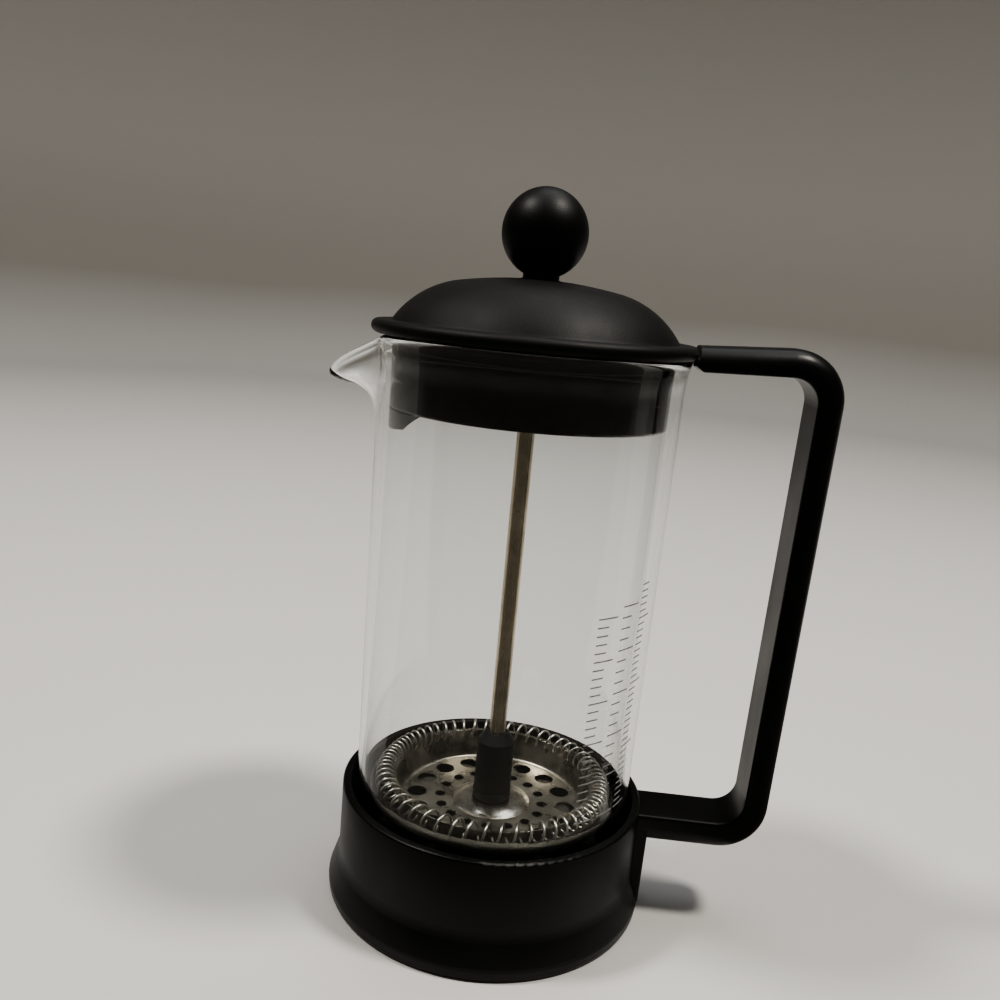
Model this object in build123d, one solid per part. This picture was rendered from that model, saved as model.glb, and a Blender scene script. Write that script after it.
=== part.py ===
from build123d import *
import os
from math import cos, hypot, radians, sin, sqrt

# French press, three-cup size.  Millimetres, +Z up, the table at z = 0, the beaker's
# axis on Z, the handle on +X and the spout on -X.

# ---------------------------------------------------------------- driving dimensions
# beaker
glass_r = 35.0
glass_wall = 1.6
glass_bottom_z = 7.0
glass_floor = 2.2
glass_corner_r = 7.0
rim_z = 140.5
rim_r = 35.94
rim_lip = 1.8
rim_flare_z = 134.0
spout_reach = 47.2
spout_half_width = 17.0
pour_margin = 60.0
spout_trim = 0.4
# start of the pouring slope on the rim and its end at the lip: (x, z)
pour_start = (-31.9, rim_z)
pour_end = (-spout_reach, 131.0)
# channel sections from the wall outwards: (distance from the axis, lowest z, radius)
spout_sections = [(28.0, 122.5, 14.0), (35.5, 124.1, 10.5), (39.5, 127.6, 6.8),
                  (43.5, 128.6, 4.0), (spout_reach, 129.4, 1.9)]

# holder: base ring, rib and handle in one moulding
base_r = 38.55
base_top_z = 29.85
base_wall = 2.2
foot_r = 41.19
foot_z = 3.2
foot_flare_z = 10.5
foot_edge = 0.3
ring_taper = 0.25
recess_z = 3.8
recess_flare = 0.8
ring_rounds = [0, 0.5, 0.5, 1.2, 2.4, 9, 0.6, 0.6, 0.5, 0]
handle_w = 14.0
handle_in_x = 63.9
handle_out_x = 70.55
# upper arm, which rises outwards: (height at its end by the beaker, height at its corner)
arm_top_z = (143.9, 146.17)
arm_under_z = (138.43, 139.46)
lower_arm_z = (20.2, 28.2)
rib_x = 40.9
rib_bottom_z = 3.0
rib_round = 0.7
corner_out_r = 12.0
corner_in_r = 6.0
handle_round = 4.6
handle_edge = 0.9
locating_ribs = 6
locating_t = 1.6
locating_z = (8.0, 24.0)
locating_angle = 30.0
arm_end_inset = 1.0
notch_w = 2.4
notch_h = 1.4
rim_clearance = 0.2
flange_clearance = 0.35

# lid
lid_gap = 0.3
flange_r = 37.05
flange_t = 3.0
dome_base_r = 32.7
dome_top_z = 155.1
dome_t = 2.0
crown_r = 100.0
crown_end_r = 18.0
shoulder_r = 22.4
seat_r = 4.4
guide_r = 5.0
guide_bottom_z = 136.0
skirt_r = 32.17
skirt_t = 1.5
skirt_bottom_z = 125.0
skirt_web_t = 1.6
tab_drop = 4.2
tab_half_top = 43.0
tab_half_bottom = 30.0

# plunger
rod_r = 2.1
rod_fit = 0.08
knob_r = 9.64
knob_z = 164.84
knob_neck_r = 4.1
knob_gap = 0.05
knob_insert_r = 3.2
knob_insert_z = (156.0, 162.4)
rod_thread_r = 1.7
sleeve_r = 4.9
sleeve_z = (25.85, 44.2)
sleeve_chamfer = (1.95, 2.4)
sleeve_band = (0.15, 2.2)
socket_z = 34.2
socket_r = 3.4
turn_fit = 0.05

# filter pack
sheet = 0.5
plate_floor_z = 24.6
hub_r = 10.2
hub_top_r = 8.0
hub_z = 25.7
hub_round = 9.0
plate_wall = ((23.9, plate_floor_z), (26.6, 31.4))
small_hole_r = 1.35
small_ring_r = 13.4
large_hole_r = 2.55
large_ring_r = 19.6
hole_count = 16
coil_r = 27.8
coil_tube_r = 2.75
coil_z = 31.3
mesh_t = 0.2
mesh_r = 31.6
mesh_top_z = 31.5
mesh_bend_z = 28.4
mesh_flat_r = 24.4
cross_t = 0.8
cross_r = 25.5
cross_hole_r = 3.4
cross_ring_r = 17.5
cross_holes = 9
stud_r = 1.5
stud_top_z = 33.4
stud_head_r = 3.0
stud_head_t = 0.9

flange_z = rim_z + lid_gap
glass_in_r = glass_r - glass_wall
glass_floor_z = glass_bottom_z + glass_floor
mesh_z = plate_floor_z - sheet - mesh_t
cross_z = mesh_z - cross_t
stud_hole_r = stud_r + 0.1


# ---------------------------------------------------------------- helpers
def turned(*edges):
    """Solid of revolution about Z from the edges of a closed outline in (radius, z)."""
    return revolve(Plane.XZ * make_face(Curve() + list(edges)), Axis.Z)


def turned_path(points, radii):
    """Solid of revolution from corner points (radius, z), each with its own round."""
    return turned(*FilletPolyline(*points, radius=radii, close=True).edges())


def post(r, z0, z1):
    """Upright cylinder on the axis between two heights."""
    return Pos(0, 0, z0) * Cylinder(r, z1 - z0, align=(Align.CENTER, Align.CENTER, Align.MIN))


def tube(r_out, r_in, z0, z1):
    """Upright tube on the axis between two heights."""
    return post(r_out, z0, z1) - post(r_in, z0 - 1, z1 + 1)


def ring_of_posts(r, ring_r, count, z0, z1, start=0.0):
    """Upright cylinders spaced evenly on a circle, as one cutting tool."""
    posts = []
    for i in range(count):
        angle = radians(start + 360 * i / count)
        posts.append(Pos(ring_r * cos(angle), ring_r * sin(angle), 0) * post(r, z0, z1))
    return posts


def slab(points, width):
    """Prism of an XZ outline, centred on y = 0."""
    return extrude(Plane.XZ * make_face(Polyline(*points, close=True)), width / 2, both=True)


def arc_on(centre, radius, x0, x1):
    """Arc of a circle in (radius, z) that lies above its centre, from x0 to x1."""
    def at(x):
        return (x, centre[1] + sqrt(radius ** 2 - (x - centre[0]) ** 2))
    return ThreePointArc(at(x0), at((x0 + x1) / 2), at(x1))


def save(part, name):
    """Writes one sub-part to parts/NAME.step."""
    part.label = name
    export_step(part, f"parts/{name}.step")


# ---------------------------------------------------------------- beaker
def spout_loft(shrink, reach):
    """Tapering channel that runs out of the beaker's wall along -X."""
    faces = []
    for x, low, r in spout_sections:
        out = min(x, reach)
        plane = Plane(origin=(-out, 0, low + r), x_dir=(0, 1, 0), z_dir=(-1, 0, 0))
        faces.append(plane * Circle(r - shrink))
    return loft(faces)


def glass_beaker():
    inner_lip_r = rim_r - rim_lip
    body = turned_path(
        [(0, glass_bottom_z), (glass_r, glass_bottom_z), (glass_r, rim_flare_z),
         (rim_r, rim_z), (inner_lip_r, rim_z), (glass_in_r, rim_flare_z),
         (glass_in_r, glass_floor_z), (0, glass_floor_z)],
        [0, glass_corner_r, 9, 0.8, 0.8, 9, glass_corner_r - glass_wall, 0])
    above = rim_z - spout_trim
    far = pour_margin
    spout = spout_loft(0, spout_reach) - post(glass_in_r, 0, above) - post(far, above, rim_z + far)
    channel = spout_loft(glass_wall, spout_reach - glass_wall)
    fall = (pour_start[1] - pour_end[1]) / (pour_start[0] - pour_end[0])
    pour = slab([pour_start, (-far, pour_start[1] - fall * (far + pour_start[0])),
                 (-far, rim_z + far), (pour_start[0], rim_z + far)], 2 * spout_half_width)
    return body + spout - channel - pour


# ---------------------------------------------------------------- holder
def base_ring():
    inner_r = base_r - base_wall
    return turned_path(
        [(0, recess_z), (inner_r, recess_z), (inner_r + recess_flare, 0), (foot_r - foot_edge, 0),
         (foot_r, foot_z), (base_r + ring_taper, foot_flare_z), (base_r, base_top_z),
         (inner_r, base_top_z), (inner_r, glass_bottom_z), (0, glass_bottom_z)],
        ring_rounds)


def handle_side():
    """Closed XZ outline of the grip bar with its upper and lower arm."""
    end_x = glass_r - arm_end_inset
    low, high = lower_arm_z
    return FilletPolyline(
        (end_x, arm_top_z[0]), (handle_out_x, arm_top_z[1]), (handle_out_x, low), (end_x, low),
        (end_x, high), (handle_in_x, high), (handle_in_x, arm_under_z[1]), (end_x, arm_under_z[0]),
        radius=[0, corner_out_r, corner_out_r, 0, 0, corner_in_r, corner_in_r, 0],
        close=True)


def is_outer(edge):
    """True for a side edge on the handle's outer face: top, back or underside."""
    x, z = edge.center().X, edge.center().Z
    return x > handle_in_x + 1 or z > arm_top_z[0] - 0.5 or z < lower_arm_z[0] + 0.5


def handle():
    bar = extrude(Plane.XZ * make_face(handle_side()), handle_w / 2, both=True)
    long_edges = [e for e in bar.edges() if abs(abs(e.center().Y) - handle_w / 2) < 0.01
                  and abs(e.center().X - glass_r + arm_end_inset) > 0.1]
    bar = fillet([e for e in long_edges if is_outer(e)], handle_round)
    inner = [e for e in bar.edges() if abs(abs(e.center().Y) - handle_w / 2) < 0.01
             and not is_outer(e) and e.center().X > glass_r
             and lower_arm_z[1] - 0.1 < e.center().Z < arm_under_z[1] + 0.1]
    return fillet(inner, handle_edge)


def handle_rib():
    """Upright rib that carries the lower arm down the base ring to the foot."""
    wall_x = base_r - base_wall / 2
    top_z = sum(lower_arm_z) / 2
    upright = Pos((rib_x + wall_x) / 2, 0, (rib_bottom_z + top_z) / 2) * Box(
        rib_x - wall_x, handle_w, top_z - rib_bottom_z)
    return fillet(upright.edges().filter_by(Axis.Z).group_by(Axis.X)[-1], rib_round)


def rim_notch():
    """Wedge cut under the upper arm's end, beside the beaker's rim."""
    under = arm_under_z[0]
    x = rim_r
    return slab([(x - notch_w, under - 1), (x + notch_w, under - 1), (x + notch_w, under),
                 (x + rim_clearance, under + notch_h), (x - notch_w, under + notch_h)], handle_w + 2)


def holder_frame():
    beaker_room = post(glass_r, glass_bottom_z, base_top_z)
    ribs = []
    inner_r = base_r - base_wall
    low, high = locating_z
    deep = inner_r + base_wall / 2 - glass_r
    for i in range(locating_ribs):
        rib = Pos(glass_r + deep / 2, 0, (low + high) / 2) * Box(deep, locating_t, high - low)
        ribs.append(Rot(0, 0, locating_angle + 360 * i / locating_ribs) * rib)
    rim_room = post(rim_r + rim_clearance, rim_flare_z, flange_z) + post(
        flange_r + flange_clearance, flange_z - rim_clearance, dome_top_z)
    grip = handle() + handle_rib() - rim_notch() - post(inner_r + base_wall / 4, 0, rim_flare_z)
    frame = base_ring() + ribs + grip
    return frame - rim_room - beaker_room


# ---------------------------------------------------------------- lid
def dome_arcs(inset):
    """Crown and shoulder arcs of the dome, moved inwards by inset."""
    crown_c = (0, dome_top_z - crown_r)
    lean = crown_end_r / crown_r
    shoulder_x = crown_end_r - shoulder_r * lean
    join_z = crown_c[1] + sqrt(crown_r ** 2 - crown_end_r ** 2)
    shoulder_c = (shoulder_x, join_z - shoulder_r * sqrt(1 - lean ** 2))
    join_x = shoulder_x + (shoulder_r - inset) * lean
    return (crown_c, crown_r - inset), (shoulder_c, shoulder_r - inset), join_x


def lid_dome():
    top = flange_z + flange_t
    bead = flange_t / 2
    inner_edge_r = skirt_r - 1.2
    (crown_c, crown_rad), (shoulder_c, shoulder_rad), join_x = dome_arcs(0)
    crown = arc_on(crown_c, crown_rad, seat_r, join_x)
    shoulder = arc_on(shoulder_c, shoulder_rad, join_x, dome_base_r - 0.35)
    (in_c, in_rad), (in_sc, in_srad), in_join_x = dome_arcs(dome_t)
    in_crown = arc_on(in_c, in_rad, guide_r, in_join_x)
    in_shoulder = arc_on(in_sc, in_srad, in_join_x, inner_edge_r)
    hole_r = rod_r + rod_fit
    foot = shoulder @ 1
    bead_x = flange_r - bead
    return turned(
        Line((hole_r, guide_bottom_z), (hole_r, dome_top_z)),
        Line((hole_r, dome_top_z), (seat_r, dome_top_z)),
        Line((seat_r, dome_top_z), crown @ 0),
        crown, shoulder,
        Line(foot, (dome_base_r, top)),
        Line((dome_base_r, top), (bead_x, top)),
        ThreePointArc((bead_x, top), (flange_r, top - bead), (bead_x, flange_z)),
        Line((bead_x, flange_z), (inner_edge_r, flange_z)),
        Line((inner_edge_r, flange_z), in_shoulder @ 1),
        in_shoulder, in_crown,
        Line(in_crown @ 0, (guide_r, guide_bottom_z)),
        Line((guide_r, guide_bottom_z), (hole_r, guide_bottom_z)))


def splash_tab():
    """Tongue under the skirt on the spout side, narrower at its lower edge."""
    ring = tube(skirt_r, skirt_r - skirt_t, skirt_bottom_z - tab_drop, skirt_bottom_z)
    top_y = skirt_r * sin(radians(tab_half_top))
    low_y = skirt_r * sin(radians(tab_half_bottom))
    low_z = skirt_bottom_z - tab_drop
    face = make_face(FilletPolyline(
        (-top_y, skirt_bottom_z + 1), (-top_y, skirt_bottom_z), (-low_y, low_z),
        (low_y, low_z), (top_y, skirt_bottom_z), (top_y, skirt_bottom_z + 1),
        radius=[0, 0, 2.5, 2.5, 0, 0], close=True))
    window = extrude(Plane.YZ * face, -50)
    return ring & window


def lid_skirt():
    inner_r = skirt_r - skirt_t
    web_z = flange_z - skirt_web_t
    cup = turned_path(
        [(guide_r, web_z), (inner_r, web_z), (inner_r, skirt_bottom_z),
         (skirt_r, skirt_bottom_z), (skirt_r, flange_z), (guide_r, flange_z)],
        [0, 1.5, 0.6, 0.6, 0, 0])
    return cup + splash_tab()


# ---------------------------------------------------------------- plunger
def knob_ball():
    neck_z = dome_top_z + knob_gap
    neck_meets = knob_z - sqrt(knob_r ** 2 - knob_neck_r ** 2)
    ball = Pos(0, 0, knob_z) * Sphere(knob_r)
    ball = ball - post(knob_r, 0, neck_meets) + post(knob_neck_r, neck_z, neck_meets + 0.5)
    return ball - post(knob_insert_r, *knob_insert_z) - post(rod_r + 0.1, 0, knob_insert_z[0] + 0.01)


def knob_insert():
    return tube(knob_insert_r, rod_thread_r + turn_fit, *knob_insert_z)


def plunger_rod():
    shoulder_z = knob_insert_z[0] - 0.1
    return post(rod_r, socket_z, shoulder_z) + post(rod_thread_r, shoulder_z, knob_insert_z[1] - 0.3)


def rod_sleeve():
    low, high = sleeve_z
    inset, fall = sleeve_chamfer
    step, band = sleeve_band
    body = turned_path(
        [(0, low), (sleeve_r, low), (sleeve_r, low + band), (sleeve_r - step, low + band),
         (sleeve_r - step, high - fall), (sleeve_r - inset, high), (0, high)],
        [0, 0.4, 0, 0, 0.4, 0.3, 0])
    return body - post(rod_r, socket_z - 0.01, high + 1) - post(socket_r, low - 1, socket_z)


def thread_insert():
    return tube(socket_r, stud_r + turn_fit, sleeve_z[0] + 0.05, socket_z)


# ---------------------------------------------------------------- filter pack
def spring_plate():
    (floor_r, _), (edge_r, edge_z) = plate_wall
    lean = sheet * hypot(edge_r - floor_r, edge_z - plate_floor_z) / (edge_z - plate_floor_z)
    under = plate_floor_z - sheet
    plate = turned_path(
        [(stud_hole_r, hub_z), (hub_top_r, hub_z), (hub_r, plate_floor_z),
         (floor_r, plate_floor_z), (edge_r, edge_z), (edge_r + lean, edge_z),
         (floor_r + lean / 2, under), (hub_r, under), (hub_top_r, hub_z - sheet),
         (stud_hole_r, hub_z - sheet)],
        [0, hub_round, 0.4, 1.0, 0.1, 0.1, 1.4, 0.4, hub_round, 0])
    low, high = under - 1, plate_floor_z + 1
    small = ring_of_posts(small_hole_r, small_ring_r, hole_count, low, high)
    large = ring_of_posts(large_hole_r, large_ring_r, hole_count, low, high)
    return plate - small - large


def coil_spring(plate):
    """Envelope of the coiled wire: a round ring that sits over the plate's edge."""
    return Pos(0, 0, coil_z) * Torus(coil_r, coil_tube_r) - plate


def filter_mesh():
    low = mesh_z
    side = mesh_r - mesh_t * 1.5
    rise = mesh_t * 1.2
    return turned_path(
        [(stud_hole_r, low), (mesh_flat_r, low), (mesh_r, mesh_bend_z), (mesh_r, mesh_top_z),
         (side, mesh_top_z), (side, mesh_bend_z + rise / 2), (mesh_flat_r - 0.1, low + mesh_t),
         (stud_hole_r, low + mesh_t)],
        [0, 2.0, 1.6, 0, 0, 1.4, 1.9, 0])


def cross_plate():
    disc = turned_path(
        [(stud_hole_r, cross_z), (cross_r - 0.6, cross_z), (cross_r, mesh_z), (stud_hole_r, mesh_z)],
        [0, 0.2, 0, 0])
    return disc - ring_of_posts(cross_hole_r, cross_ring_r, cross_holes, cross_z - 1, mesh_z + 1)


def cross_plate_stud():
    head = post(stud_head_r, cross_z - stud_head_t, cross_z)
    return head + post(stud_r, cross_z - 0.1, stud_top_z)


def main():
    os.makedirs("parts", exist_ok=True)
    plate = spring_plate()
    save(holder_frame(), "holder_frame")
    save(glass_beaker(), "glass_beaker")
    save(lid_dome(), "lid_dome")
    save(lid_skirt(), "lid_skirt")
    save(knob_ball(), "knob_ball")
    save(knob_insert(), "knob_insert")
    save(plunger_rod(), "plunger_rod")
    save(rod_sleeve(), "rod_sleeve")
    save(thread_insert(), "thread_insert")
    save(plate, "spring_plate")
    save(coil_spring(plate), "coil_spring")
    save(filter_mesh(), "filter_mesh")
    save(cross_plate(), "cross_plate")
    save(cross_plate_stud(), "cross_plate_stud")


main()
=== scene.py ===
import math
import random

import bpy
from mathutils import Matrix, Vector

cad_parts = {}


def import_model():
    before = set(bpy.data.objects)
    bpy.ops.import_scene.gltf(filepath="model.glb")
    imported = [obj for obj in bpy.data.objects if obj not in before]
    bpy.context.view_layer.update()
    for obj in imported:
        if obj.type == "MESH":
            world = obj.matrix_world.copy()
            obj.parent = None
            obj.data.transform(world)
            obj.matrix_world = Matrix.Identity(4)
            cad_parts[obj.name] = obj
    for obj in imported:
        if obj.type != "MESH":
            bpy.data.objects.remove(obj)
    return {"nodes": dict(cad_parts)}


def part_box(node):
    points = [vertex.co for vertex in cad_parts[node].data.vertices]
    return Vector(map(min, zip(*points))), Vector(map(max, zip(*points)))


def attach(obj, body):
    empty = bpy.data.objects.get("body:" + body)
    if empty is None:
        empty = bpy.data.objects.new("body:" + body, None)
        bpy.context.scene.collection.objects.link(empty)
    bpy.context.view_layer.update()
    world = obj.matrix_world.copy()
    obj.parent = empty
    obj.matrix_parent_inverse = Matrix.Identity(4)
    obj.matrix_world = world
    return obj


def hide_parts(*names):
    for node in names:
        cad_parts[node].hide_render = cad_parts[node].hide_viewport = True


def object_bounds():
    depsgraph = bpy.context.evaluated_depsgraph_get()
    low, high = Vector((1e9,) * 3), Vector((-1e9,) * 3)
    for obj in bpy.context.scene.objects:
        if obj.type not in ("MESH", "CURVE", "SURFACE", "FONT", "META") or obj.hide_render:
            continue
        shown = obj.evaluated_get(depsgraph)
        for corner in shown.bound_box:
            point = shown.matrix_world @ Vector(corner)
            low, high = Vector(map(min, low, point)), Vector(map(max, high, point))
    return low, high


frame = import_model()
cad_low, cad_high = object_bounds()

# Metres, in the model's own frame: +Z up, the beaker's axis on Z, handle on +X, spout on -X.
MM = 0.001

# ------------------------------------------------------------------ sizes read from the frame
glass_low, glass_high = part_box("glass_beaker")
coil_low, coil_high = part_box("coil_spring")
mesh_low, mesh_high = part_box("filter_mesh")

rim_r = glass_high.x
rim_z = glass_high.z
glass_r = 35.0 * MM
wall = 1.6 * MM
floor_t = 2.2 * MM
corner_r = 7 * MM
# the plain beaker's outer line where its rim flares out
flare_start_z = 133.5 * MM
flare_z = 137.6 * MM
flare_in = 0.45 * MM
ink_near, ink_far = 35.005 * MM, 35.05 * MM
# the woven disc: its flat part, and the height and reach of its upturned edge
mesh_flat_r = 24.4 * MM
mesh_bend_z = 28.0 * MM
mesh_side_z = 31.0 * MM
mesh_edge_z = 29.5 * MM
mesh_front_rise = 1.9 * MM


# ------------------------------------------------------------------ mesh helpers
def new_object(name, verts, faces, smooth=True):
    """A mesh object from vertices in metres and faces."""
    mesh = bpy.data.meshes.new(name)
    mesh.from_pydata([tuple(v) for v in verts], [], faces)
    mesh.validate()
    mesh.update()
    for polygon in mesh.polygons:
        polygon.use_smooth = smooth
    made = bpy.data.objects.new(name, mesh)
    bpy.context.scene.collection.objects.link(made)
    return made


def rounded(points, radii, step=12):
    """Open path through 2-D points with each inner corner replaced by an arc of its radius."""
    path = [Vector(points[0])]
    for before, corner, after, radius in zip(points, points[1:], points[2:], radii):
        corner = Vector(corner)
        a = (Vector(before) - corner).normalized()
        b = (Vector(after) - corner).normalized()
        turn = math.pi - a.angle(b)
        if radius <= 0 or turn < 1e-3:
            path.append(corner)
            continue
        reach = radius * math.tan(turn / 2)
        centre = corner + (a + b).normalized() * (radius / math.cos(turn / 2))
        start = corner + a * reach - centre
        end = corner + b * reach - centre
        count = max(2, round(turn / math.radians(step)))
        for i in range(count + 1):
            angle = start.angle_signed(end) * i / count
            path.append(centre + Matrix.Rotation(-angle, 2) @ start)
    path.append(Vector(points[-1]))
    return path


def lathe(name, path, turns=160, closed=False):
    """Surface of revolution about Z. A path point on the axis becomes one vertex."""
    verts, rings = [], []
    for r, z in path:
        if r < 1e-9:
            rings.append([len(verts)])
            verts.append((0, 0, z))
            continue
        rings.append(list(range(len(verts), len(verts) + turns)))
        for i in range(turns):
            angle = 2 * math.pi * i / turns
            verts.append((r * math.cos(angle), r * math.sin(angle), z))
    pairs = list(zip(rings, rings[1:]))
    if closed:
        pairs.append((rings[-1], rings[0]))
    faces = []
    for a, b in pairs:
        for i in range(turns):
            j = (i + 1) % turns
            if len(a) == 1:
                faces.append((a[0], b[j], b[i]))
            elif len(b) == 1:
                faces.append((a[i], a[j], b[0]))
            else:
                faces.append((a[i], a[j], b[j], b[i]))
    return new_object(name, verts, faces)


def sweep(name, points, radius, sides=8, closed=True):
    """Round wire of one radius along a dense line of points."""
    count = len(points)
    verts, faces = [], []
    normal = None
    for i, point in enumerate(points):
        ahead = points[(i + 1) % count] if closed or i < count - 1 else point
        behind = points[i - 1] if closed or i > 0 else point
        along = (ahead - behind).normalized()
        if normal is None:
            normal = along.orthogonal().normalized()
        normal = (normal - along * normal.dot(along)).normalized()
        side = along.cross(normal)
        for k in range(sides):
            angle = 2 * math.pi * k / sides
            verts.append(point + (normal * math.cos(angle) + side * math.sin(angle)) * radius)
    for i in range(count if closed else count - 1):
        for k in range(sides):
            a, b = i * sides, ((i + 1) % count) * sides
            m = (k + 1) % sides
            faces.append((a + k, a + m, b + m, b + k))
    if not closed:
        faces.append(tuple(reversed(range(sides))))
        faces.append(tuple(range((count - 1) * sides, count * sides)))
    return new_object(name, verts, faces)


def smooth_step(x):
    x = min(max(x, 0.0), 1.0)
    return x * x * (3 - 2 * x)


# ------------------------------------------------------------------ materials
class Nodes:
    """A material with a Principled shader and short calls to build its node tree."""

    def __init__(self, name, **constants):
        self.material = bpy.data.materials.new(name)
        self.material.use_nodes = True
        self.tree = self.material.node_tree
        self.tree.nodes.clear()
        self.output = self.add("ShaderNodeOutputMaterial")
        self.shader = self.add("ShaderNodeBsdfPrincipled")
        self.link(self.shader.outputs[0], self.output.inputs["Surface"])
        for key, value in constants.items():
            self.shader.inputs[key.replace("_", " ")].default_value = value
        self.place = self.add("ShaderNodeTexCoord").outputs["Object"]

    def add(self, kind, **settings):
        node = self.tree.nodes.new(kind)
        for key, value in settings.items():
            setattr(node, key, value)
        return node

    def link(self, source, target):
        self.tree.links.new(source, target)

    def noise(self, scale, detail=3.0, roughness=0.5, stretch=None):
        node = self.add("ShaderNodeTexNoise")
        node.inputs["Scale"].default_value = scale
        node.inputs["Detail"].default_value = detail
        node.inputs["Roughness"].default_value = roughness
        source = self.place
        if stretch:
            mapping = self.add("ShaderNodeMapping")
            mapping.inputs["Scale"].default_value = stretch
            self.link(source, mapping.inputs["Vector"])
            source = mapping.outputs[0]
        self.link(source, node.inputs["Vector"])
        return node.outputs["Fac"]

    def remap(self, value, low, high, start=0.0, end=1.0):
        node = self.add("ShaderNodeMapRange")
        node.inputs["From Min"].default_value = low
        node.inputs["From Max"].default_value = high
        node.inputs["To Min"].default_value = start
        node.inputs["To Max"].default_value = end
        self.link(value, node.inputs["Value"])
        return node.outputs[0]

    def math(self, operation, a, b=None):
        node = self.add("ShaderNodeMath", operation=operation)
        for socket, value in zip(node.inputs, (a, b)):
            if value is None:
                continue
            if isinstance(value, (int, float)):
                socket.default_value = value
            else:
                self.link(value, socket)
        return node.outputs[0]

    def ramp(self, value, *stops):
        node = self.add("ShaderNodeValToRGB")
        band = node.color_ramp
        while len(band.elements) < len(stops):
            band.elements.new(0.5)
        for element, (position, colour) in zip(band.elements, stops):
            element.position = position
            element.color = (*colour, 1)
        self.link(value, node.inputs[0])
        return node.outputs[0]

    def position(self):
        """The x, y and z of the shaded point."""
        split = self.add("ShaderNodeSeparateXYZ")
        self.link(self.place, split.inputs[0])
        return split.outputs

    def axis_distance(self, x, y):
        """Distance of the shaded point from the Z axis."""
        squares = self.math("ADD", self.math("MULTIPLY", x, x), self.math("MULTIPLY", y, y))
        return self.math("SQRT", squares)

    def bump(self, height, strength, distance, below=None):
        node = self.add("ShaderNodeBump")
        node.inputs["Strength"].default_value = strength
        node.inputs["Distance"].default_value = distance
        self.link(height, node.inputs["Height"])
        if below is not None:
            self.link(below, node.inputs["Normal"])
        self.link(node.outputs[0], self.shader.inputs["Normal"])
        return node.outputs[0]

    def colour(self, source):
        self.link(source, self.shader.inputs["Base Color"])

    def roughness(self, source):
        self.link(source, self.shader.inputs["Roughness"])


def grained_plastic(name, dark, light, smooth, rough, grain, depth):
    """Black moulded plastic with an eroded grain and faint handling marks."""
    m = Nodes(name, Specular_IOR_Level=0.2, IOR=1.49)
    broad = m.noise(60, 4)
    fine = m.noise(grain, 2)
    m.colour(m.ramp(broad, (0.3, dark), (0.75, light)))
    marks = m.noise(35, 5, 0.65, stretch=(1, 1, 0.35))
    m.roughness(m.remap(m.math("ADD", broad, marks), 0.7, 1.3, smooth, rough))
    m.bump(fine, 0.35, depth)
    return m.material


def gloss_plastic():
    """Polished black moulding with faint flow waviness."""
    m = Nodes("gloss_black_plastic", Specular_IOR_Level=0.4, IOR=1.5)
    m.colour(m.ramp(m.noise(40, 3), (0.3, (0.002, 0.002, 0.0018)), (0.8, (0.005, 0.0048, 0.004))))
    m.roughness(m.remap(m.noise(90, 4), 0.3, 0.7, 0.06, 0.14))
    m.bump(m.noise(55, 2), 0.12, 0.0004)
    return m.material


def let_lamps_through(m, tint):
    """Rays from lamps pass the glass, so that what stands inside it is lit."""
    path = m.add("ShaderNodeLightPath")
    clear = m.add("ShaderNodeBsdfTransparent")
    clear.inputs["Color"].default_value = (*tint, 1)
    mix = m.add("ShaderNodeMixShader")
    m.link(path.outputs["Is Shadow Ray"], mix.inputs[0])
    m.link(m.shader.outputs[0], mix.inputs[1])
    m.link(clear.outputs[0], mix.inputs[2])
    m.link(mix.outputs[0], m.output.inputs["Surface"])


def clear_glass():
    """Borosilicate glass, very slightly wavy, with a faint film of finger marks."""
    m = Nodes("borosilicate_glass", Transmission_Weight=1.0, IOR=1.472, Specular_IOR_Level=0.5)
    m.shader.inputs["Base Color"].default_value = (0.985, 0.992, 0.988, 1)
    smears = m.noise(28, 5, 0.6, stretch=(1, 1, 0.5))
    m.roughness(m.remap(smears, 0.5, 0.8, 0.0, 0.018))
    m.bump(m.noise(22, 2, stretch=(1, 1, 0.3)), 0.25, 0.0006)
    let_lamps_through(m, (0.95, 0.96, 0.955))
    return m.material


def steel(name, colour, dull, rough_low, rough_high, scale, stretch, depth):
    """Stainless steel with drawn or pressed marks along one direction and faint staining."""
    m = Nodes(name, Metallic=1.0, Specular_IOR_Level=0.5)
    stain = m.noise(120, 5, 0.6)
    m.colour(m.ramp(stain, (0.35, dull), (0.65, colour)))
    marks = m.noise(scale, 4, 0.6, stretch=stretch)
    m.roughness(m.remap(marks, 0.3, 0.7, rough_low, rough_high))
    m.bump(marks, 0.3, depth)
    return m.material


def printed_enamel():
    """Grey enamel fired on the glass, thin in places."""
    m = Nodes("grey_enamel", Specular_IOR_Level=0.4)
    worn = m.noise(900, 3)
    m.colour(m.ramp(worn, (0.3, (0.16, 0.165, 0.16)), (0.7, (0.3, 0.305, 0.3))))
    m.roughness(m.remap(worn, 0.3, 0.7, 0.35, 0.55))
    m.bump(worn, 0.2, 0.00002)
    return m.material


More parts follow.
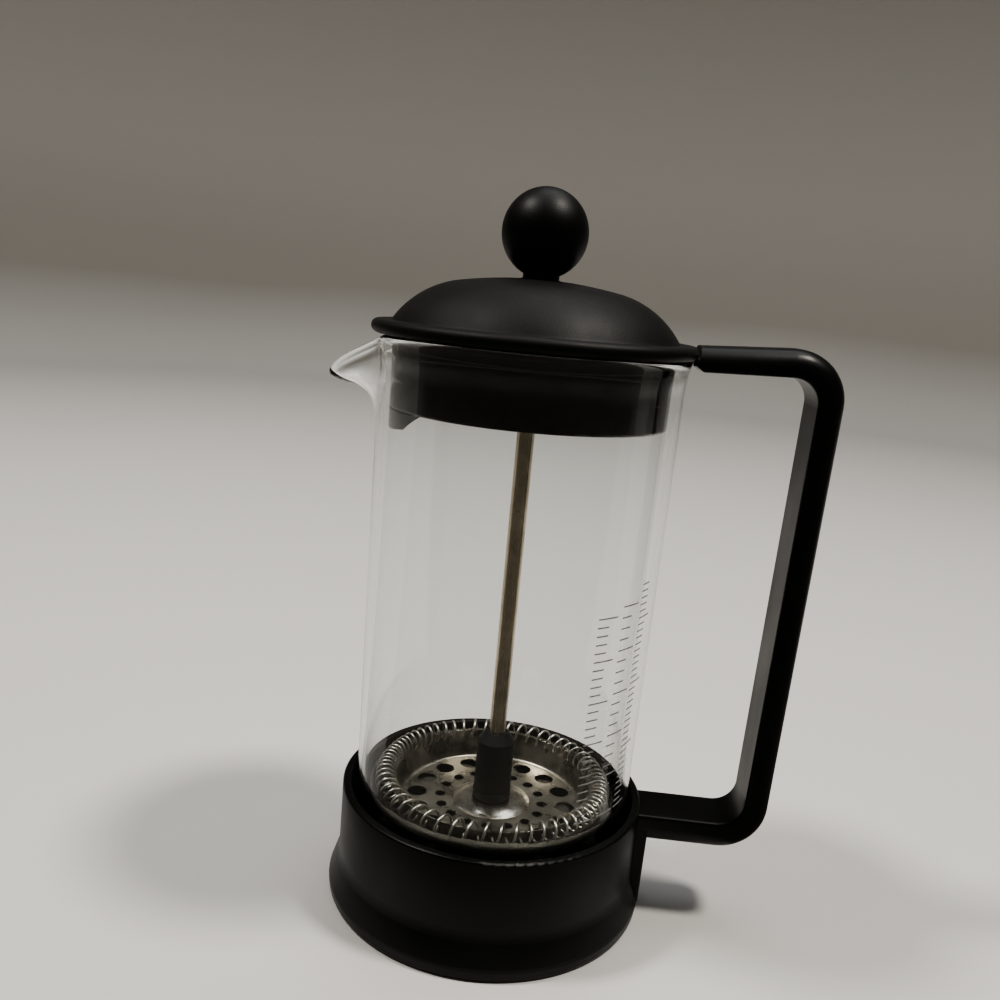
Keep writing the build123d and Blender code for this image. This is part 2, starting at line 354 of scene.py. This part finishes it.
def pressed_plate():
    """Sheet steel with pressing marks, its raised hub polished bright, and painted shade darkening it
    near the wall under the coil.
    """
    m = Nodes("pressed_sheet_steel", Metallic=1.0, Specular_IOR_Level=0.5)
    x, y, z = m.position()
    radius = m.axis_distance(x, y)
    hub = m.remap(radius, 9.6 * MM, 10.6 * MM, 1.0, 0.0)
    # painted shade: this mask darkens the plate's colour where it rises to its wall under the coil
    wall_shade_share = m.remap(radius, 23.2 * MM, 24.6 * MM)
    stain = m.math("SUBTRACT", m.noise(120, 5, 0.6), m.math("MULTIPLY", wall_shade_share, 0.2))
    m.colour(m.ramp(m.math("ADD", stain, m.math("MULTIPLY", hub, 0.3)),
                    (0.2, (0.1, 0.093, 0.08)), (0.38, (0.3, 0.28, 0.24)),
                    (0.65, (0.46, 0.43, 0.37)), (0.9, (0.85, 0.82, 0.75))))
    marks = m.noise(260, 4, 0.6)
    dull = m.remap(marks, 0.3, 0.7, 0.24, 0.4)
    m.roughness(m.math("SUBTRACT", dull, m.math("MULTIPLY", hub, 0.14)))
    m.bump(marks, 0.3, 0.00008)
    return m.material


def woven_steel():
    """Fine plain weave: two crossed sets of wires raised over and under each other, coloured near black
    where they dip as painted shade between the wires.
    """
    m = Nodes("woven_mesh_steel", Metallic=1.0)
    pitch = 0.5 * MM
    wrap_r = 32 * MM
    x, y, z = m.position()
    arc = m.math("MULTIPLY", m.math("ARCTAN2", y, x), wrap_r)
    along = m.math("ADD", m.axis_distance(x, y), z)
    turn = 2 * math.pi / pitch
    across_wave = m.math("SINE", m.math("MULTIPLY", arc, turn))
    along_wave = m.math("SINE", m.math("MULTIPLY", along, turn))
    weave = m.math("MULTIPLY", across_wave, along_wave)
    height = m.remap(weave, -1, 1)
    # painted shade: the weave's low points and gaps are coloured near black
    m.colour(m.ramp(height, (0.25, (0.008, 0.0078, 0.007)), (0.8, (0.24, 0.23, 0.2))))
    m.roughness(m.remap(m.noise(200, 3), 0.3, 0.7, 0.28, 0.45))
    m.bump(height, 0.8, 0.0002)
    return m.material


black_body = grained_plastic("black_holder_plastic", (0.0018, 0.002, 0.002), (0.0032, 0.0035, 0.0034),
                             0.3, 0.42, 2600, 0.00005)
black_lid = grained_plastic("black_lid_plastic", (0.003, 0.003, 0.0028), (0.0065, 0.0065, 0.006),
                            0.46, 0.6, 3400, 0.00013)
black_knob = grained_plastic("black_knob_plastic", (0.0018, 0.0019, 0.0019), (0.0032, 0.0033, 0.0032),
                             0.4, 0.52, 2200, 0.00007)
grey_sleeve = grained_plastic("dark_grey_plastic", (0.004, 0.004, 0.0038), (0.0062, 0.0062, 0.0059),
                              0.55, 0.65, 3000, 0.000008)
black_gloss = gloss_plastic()
glass = clear_glass()
rod_steel = steel("polished_rod_steel", (0.55, 0.485, 0.375), (0.34, 0.295, 0.225), 0.16, 0.34,
                  900, (1, 1, 0.01), 0.00003)
plate_steel = pressed_plate()
wire_steel = steel("bright_wire_steel", (0.62, 0.6, 0.55), (0.45, 0.43, 0.39), 0.26, 0.38,
                   900, (1, 1, 1), 0.00002)
mesh_steel = woven_steel()
enamel = printed_enamel()
brass = steel("turned_brass", (0.75, 0.55, 0.25), (0.6, 0.43, 0.2), 0.25, 0.4, 900, (1, 1, 8), 0.00004)


def paint(piece, material):
    piece.data.materials.clear()
    piece.data.materials.append(material)


def fit(piece, body, material, slot, *nodes):
    """Gives a made piece its material and body, and hides the CAD nodes it stands for; its slot is not
    used.
    """
    paint(piece, material)
    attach(piece, body)
    if nodes:
        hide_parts(*nodes)
    return piece


# ------------------------------------------------------------------ beaker
spout_angle = math.radians(24)
drop_angle = math.radians(25)
spout_low_z = 113.0 * MM
lip_r = 0.95 * MM
# line of the spout's underside, from the wall to the lip: (reach, height)
spout_keel = [(35.0, 109.0), (35.0, 113.0), (35.25, 118.6), (35.75, 123.0), (37.2, 126.3), (40.3, 128.0),
              (43.6, 128.6), (46.6, 129.7), (48.2, 131.8)]


def along_keel(t):
    """Point on a smooth line through the keel's points, t from 0 at the wall to 1 at the lip."""
    spans = len(spout_keel) - 3
    span = min(int(t * spans), spans - 1)
    u = t * spans - span
    a, b, c, d = (Vector(p) for p in spout_keel[span:span + 4])
    bend = a * (-u + 2 * u ** 2 - u ** 3) + b * (2 - 5 * u ** 2 + 3 * u ** 3)
    bend += c * (u + 4 * u ** 2 - 3 * u ** 3) + d * (u ** 3 - u ** 2)
    return bend * (MM / 2)


def spout_share(angle):
    """How far the wall at an angle off the spout's middle follows the keel outwards."""
    u = min(abs(angle) / spout_angle, 1)
    return (1 - u) ** 3 * (1 + 3 * u)


def drop_share(angle):
    """How far the wall at an angle off the spout's middle follows the keel downwards."""
    soft = math.radians(1.5)
    u = min((math.hypot(angle, soft) - soft) / drop_angle, 1)
    return (1 - u) ** 2


def drawn_out(angle, r, z):
    """A point of the plain beaker moved to where the spout's drawing takes it."""
    off = math.remainder(angle - math.pi, 2 * math.pi)
    t = (z - spout_low_z) / (rim_z - lip_r - spout_low_z)
    if t <= 0 or abs(off) > drop_angle + 0.05:
        return r, z
    keel = along_keel(min(t, 1))
    return (r + (keel.x - r) * spout_share(off),
            z + (keel.y - z) * drop_share(off))


def beaker_angles(plain=150, spout=120):
    """Angles round the beaker, closer together across the spout."""
    half = drop_angle + 0.05
    angles = [math.pi - half + 2 * half * i / spout for i in range(spout)]
    rest = 2 * math.pi - 2 * half
    angles += [math.pi + half + rest * i / plain for i in range(plain)]
    return angles


def beaker():
    floor_z = glass_low.z
    lip_z = rim_z - lip_r
    outer = rounded([(0, floor_z), (glass_r, floor_z), (glass_r, flare_start_z),
                     (rim_r - flare_in, flare_z), (rim_r, lip_z)],
                    [corner_r, 14 * MM, 5 * MM], step=9)
    path = []
    for a, b in zip(outer, outer[1:]):
        pieces = max(1, math.ceil((b - a).length / (1.2 * MM))) if b.y > 118 * MM else 1
        path += [a.lerp(b, i / pieces) for i in range(pieces)]
    path.append(outer[-1])
    angles = beaker_angles()
    count = len(angles)
    rows = []
    for r, z in path:
        row = []
        for angle in angles:
            out, up = drawn_out(angle, r, z)
            row.append(Vector((out * math.cos(angle), out * math.sin(angle), up)))
        rows.append(row)

    def normal(i, j):
        across = rows[i][(j + 1) % count] - rows[i][j - 1]
        up = rows[min(i + 1, len(rows) - 1)][j] - rows[max(i - 1, 0)][j]
        return across.cross(up).normalized()

    inner = []
    for i, row in enumerate(rows):
        if i == 0:
            inner.append([p + Vector((0, 0, floor_t)) for p in row])
            continue
        deep = floor_t if row[0].z < floor_z + 0.5 * MM else wall
        top = smooth_step((path[i].y - 136 * MM) / (4 * MM))
        thick = deep + (2 * lip_r - deep) * top
        inner.append([p - normal(i, j) * thick for j, p in enumerate(row)])
    lip = []
    steps = 6
    for k in range(1, steps):
        turn = math.pi * k / steps
        row = []
        for j in range(count):
            out, into = rows[-1][j], inner[-1][j]
            middle, half = (out + into) / 2, (out - into) / 2
            rise = (rows[-1][j] - rows[-2][j]).normalized() * half.length
            row.append(middle + half * math.cos(turn) + rise * math.sin(turn))
        lip.append(row)
    loops = rows[1:] + lip + inner[:0:-1]
    verts = [rows[0][0]] + [p for row in loops for p in row] + [inner[0][0]]
    faces = [(0, 1 + (j + 1) % count, 1 + j) for j in range(count)]
    for i in range(len(loops) - 1):
        for j in range(count):
            k = (j + 1) % count
            a, b = 1 + i * count, 1 + (i + 1) * count
            faces.append((a + j, a + k, b + k, b + j))
    last = 1 + (len(loops) - 1) * count
    faces += [(last + j, last + (j + 1) % count, len(verts) - 1) for j in range(count)]
    return new_object("beaker_glass", verts, faces)


fit(beaker(), "press_body", glass, "clear_glass", "glass_beaker")


def bent_bar(verts, faces, middle, half_turn, low, high, cuts=6):
    """Adds a thin closed bar of print that follows the beaker's outer wall."""
    base = len(verts)
    for i in range(cuts + 1):
        angle = middle + half_turn * (2 * i / cuts - 1)
        for r, z in ((ink_near, low), (ink_far, low), (ink_far, high), (ink_near, high)):
            verts.append((r * math.cos(angle), r * math.sin(angle), z))
    for i in range(cuts):
        a, b = base + 4 * i, base + 4 * (i + 1)
        faces += [(a + k, b + k, b + (k + 1) % 4, a + (k + 1) % 4) for k in range(4)]
    end = base + 4 * cuts
    faces += [(base, base + 1, base + 2, base + 3), (end + 3, end + 2, end + 1, end)]


def volume_marks():
    """Plain graduations printed up the beaker beside the handle: no figures or letters."""
    verts, faces = [], []
    scales = [(-50, 2.0, 5, 36, 88), (-38, 2.6, 4, 36, 92), (-27, 1.6, 10, 36, 94)]
    for angle, step, long_every, low, high in scales:
        for i in range(int((high - low) / step)):
            long_tick = i % long_every == 0
            half = math.radians(4.6 if long_tick else 2.6)
            z = (low + i * step) * MM
            left = math.radians(angle - 4.6)
            bent_bar(verts, faces, left + half, half, z, z + 0.34 * MM)
    return new_object("volume_marks", verts, faces, smooth=False)


fit(volume_marks(), "press_body", enamel, "clear_glass")


# ------------------------------------------------------------------ filter coil
def coil_wire():
    """Spring wire wound round a ring, its turns closer at the sides than at front and back."""
    middle = (coil_low + coil_high) / 2
    tube = (coil_high.z - coil_low.z) / 2
    ring = coil_high.x - tube
    wire = 0.34 * MM
    turns = 66
    per_turn = 20
    draw = random.Random(5)
    sway = [draw.uniform(-0.25, 0.25) for _ in range(turns)]
    points = []
    total = turns * per_turn
    for i in range(total):
        part = i / total
        angle = 2 * math.pi * part - 0.16 * math.sin(4 * math.pi * part + 0.35)
        turn = int(part * turns)
        mix = part * turns - turn
        jitter = sway[turn] * (1 - mix) + sway[(turn + 1) % turns] * mix
        angle += math.radians(1.6) * jitter
        wind = 2 * math.pi * i / per_turn
        out = ring + (tube - wire) * math.cos(wind)
        points.append(Vector((out * math.cos(angle), out * math.sin(angle),
                              middle.z + (tube - wire) * math.sin(wind))))
    return sweep("coil_wire", points, wire, sides=8)


fit(coil_wire(), "filter", wire_steel, "spring_wire", "coil_spring")


def filter_sheet():
    """Woven disc cupped round the coil, its cut edge frayed and standing highest at the front."""
    flat_z = mesh_low.z
    rim = mesh_high.x
    turns = 720
    draw = random.Random(11)
    profile = rounded([(1.6 * MM, flat_z), (mesh_flat_r, flat_z), (rim - 0.5 * MM, mesh_bend_z),
                       (rim, mesh_side_z)], [2 * MM, 2.2 * MM], step=9)
    fray = [draw.uniform(-0.16, 0.16) * MM for _ in range(turns)]
    verts = []
    last = len(profile) - 1
    low_z = profile[last - 1].y
    for k, (r, z) in enumerate(profile):
        for i in range(turns):
            angle = 2 * math.pi * i / turns
            up, out = z, r
            if k == last:
                front = ((1 - math.sin(angle)) / 2) ** 1.5
                top = mesh_edge_z + mesh_front_rise * front + fray[i]
                up = max(top, low_z + 0.1 * MM)
                out = r + 0.12 * MM * math.sin(9 * angle) - 0.3 * MM * (1 - front)
            verts.append((out * math.cos(angle), out * math.sin(angle), up))
    faces = []
    for k in range(last):
        for i in range(turns):
            j = (i + 1) % turns
            faces.append((k * turns + i, k * turns + j, (k + 1) * turns + j, (k + 1) * turns + i))
    sheet = new_object("filter_weave", verts, faces)
    solid = sheet.modifiers.new("thickness", "SOLIDIFY")
    solid.thickness = 0.2 * MM
    solid.offset = 1
    return sheet


fit(filter_sheet(), "filter", mesh_steel, "woven_mesh", "filter_mesh")

# ------------------------------------------------------------------ CAD nodes that stay
for node, material in {
    "holder_frame": black_body, "lid_dome": black_lid, "lid_skirt": black_gloss,
    "knob_ball": black_knob, "knob_insert": brass, "plunger_rod": rod_steel,
    "rod_sleeve": grey_sleeve, "thread_insert": brass, "spring_plate": plate_steel,
    "cross_plate": plate_steel, "cross_plate_stud": rod_steel,
}.items():
    paint(frame["nodes"][node], material)


# ------------------------------------------------------------------ stage
def stage_bowl():
    """Pale floor that sweeps up into a greyer backdrop all round, so that every view has one."""
    path = rounded([(0, 0), (1.75, 0), (2.15, 1.9)], [0.5], step=6)
    floor = lathe("studio_floor", path, turns=96)
    m = Nodes("studio_paper", Roughness=0.5)
    height = m.math("ADD", m.position()[2], m.remap(m.noise(1.5, 2), 0.3, 0.7, -0.01, 0.01))
    m.colour(m.ramp(m.remap(height, 0.0, 0.4), (0.0, (0.64, 0.635, 0.62)), (0.35, (0.34, 0.323, 0.295))))
    paint(floor, m.material)


def flag(name, first, last, through_glass):
    """Dark card on the floor, as studios use. Reflections show it, and so does glass if it is set."""
    path = [(0.07, 0.002), (1.5, 0.002), (1.6, 0.1), (1.64, 1.2)]
    steps = 40
    start, end = math.radians(first), math.radians(last)
    verts = []
    for i in range(steps + 1):
        angle = start + (end - start) * i / steps
        verts += [(r * math.cos(angle), r * math.sin(angle), z) for r, z in path]
    row = len(path)
    faces = [(i * row + k, i * row + k + 1, (i + 1) * row + k + 1, (i + 1) * row + k)
             for i in range(steps) for k in range(row - 1)]
    card = new_object(name, verts, faces, smooth=False)
    m = Nodes(name + "_velvet", Roughness=0.9, Specular_IOR_Level=0.0)
    m.colour(m.ramp(m.noise(8, 2), (0.3, (0.085, 0.081, 0.074)), (0.7, (0.13, 0.125, 0.113))))
    paint(card, m.material)
    card.visible_camera = False
    card.visible_diffuse = False
    card.visible_transmission = through_glass
    card.visible_shadow = False


def lamp(name, direction, distance, size, power, colour):
    """Soft square lamp in a direction from the object, turned to it."""
    aim = (cad_low + cad_high) / 2
    place = aim + Vector(direction).normalized() * distance
    data = bpy.data.lights.new(name, "AREA")
    data.shape = "DISK"
    data.size = size
    data.energy = power
    data.color = colour
    made = bpy.data.objects.new(name, data)
    made.location = place
    made.rotation_mode = "QUATERNION"
    made.rotation_quaternion = (aim - place).to_track_quat("-Z", "Y")
    made.visible_camera = False
    bpy.context.scene.collection.objects.link(made)


def world():
    made = bpy.data.worlds.new("studio_world")
    made.use_nodes = True
    sky = made.node_tree.nodes["Background"]
    sky.inputs["Color"].default_value = (1, 0.97, 0.92, 1)
    sky.inputs["Strength"].default_value = 0.06
    bpy.context.scene.world = made


# ------------------------------------------------------------------ camera
def camera():
    """Camera a little above the lid, looking down at the press from its front."""
    focal = 0.94686
    lean = math.radians(16.64)
    tilt = math.radians(5.31)
    heading = math.radians(-2.27)
    place = Vector((5.94, -222.34, 150.78)) * MM
    ahead = Vector((math.sin(heading) * math.cos(lean), math.cos(heading) * math.cos(lean),
                    -math.sin(lean)))
    level = Vector((math.cos(heading), -math.sin(heading), 0))
    upright = level.cross(ahead)
    right = level * math.cos(tilt) + upright * math.sin(tilt)
    up = upright * math.cos(tilt) - level * math.sin(tilt)
    data = bpy.data.cameras.new("camera")
    data.sensor_width = 36
    data.lens = focal * data.sensor_width
    data.shift_y = 0.08
    data.clip_start = 0.01
    data.clip_end = 20
    made = bpy.data.objects.new("camera", data)
    made.matrix_world = Matrix((
        (right.x, up.x, -ahead.x, place.x),
        (right.y, up.y, -ahead.y, place.y),
        (right.z, up.z, -ahead.z, place.z),
        (0, 0, 0, 1)))
    bpy.context.scene.collection.objects.link(made)
    bpy.context.scene.camera = made


stage_bowl()
flag("front_flag", 182, 358, True)
flag("left_flag", 150, 182, False)
flag("right_flag", -2, 30, False)
world()
lamp("right_lamp", (0.45, -0.07, 1), 1.3, 0.2, 13, (1, 0.95, 0.87))
lamp("left_lamp", (-0.6, -0.07, 1), 1.3, 0.2, 10, (1, 0.96, 0.9))
lamp("top_lamp", (0.1, 0.35, 1), 1.6, 1.1, 6, (0.97, 0.98, 1))
camera()

bpy.context.scene.view_settings.look = "AgX - Medium High Contrast"
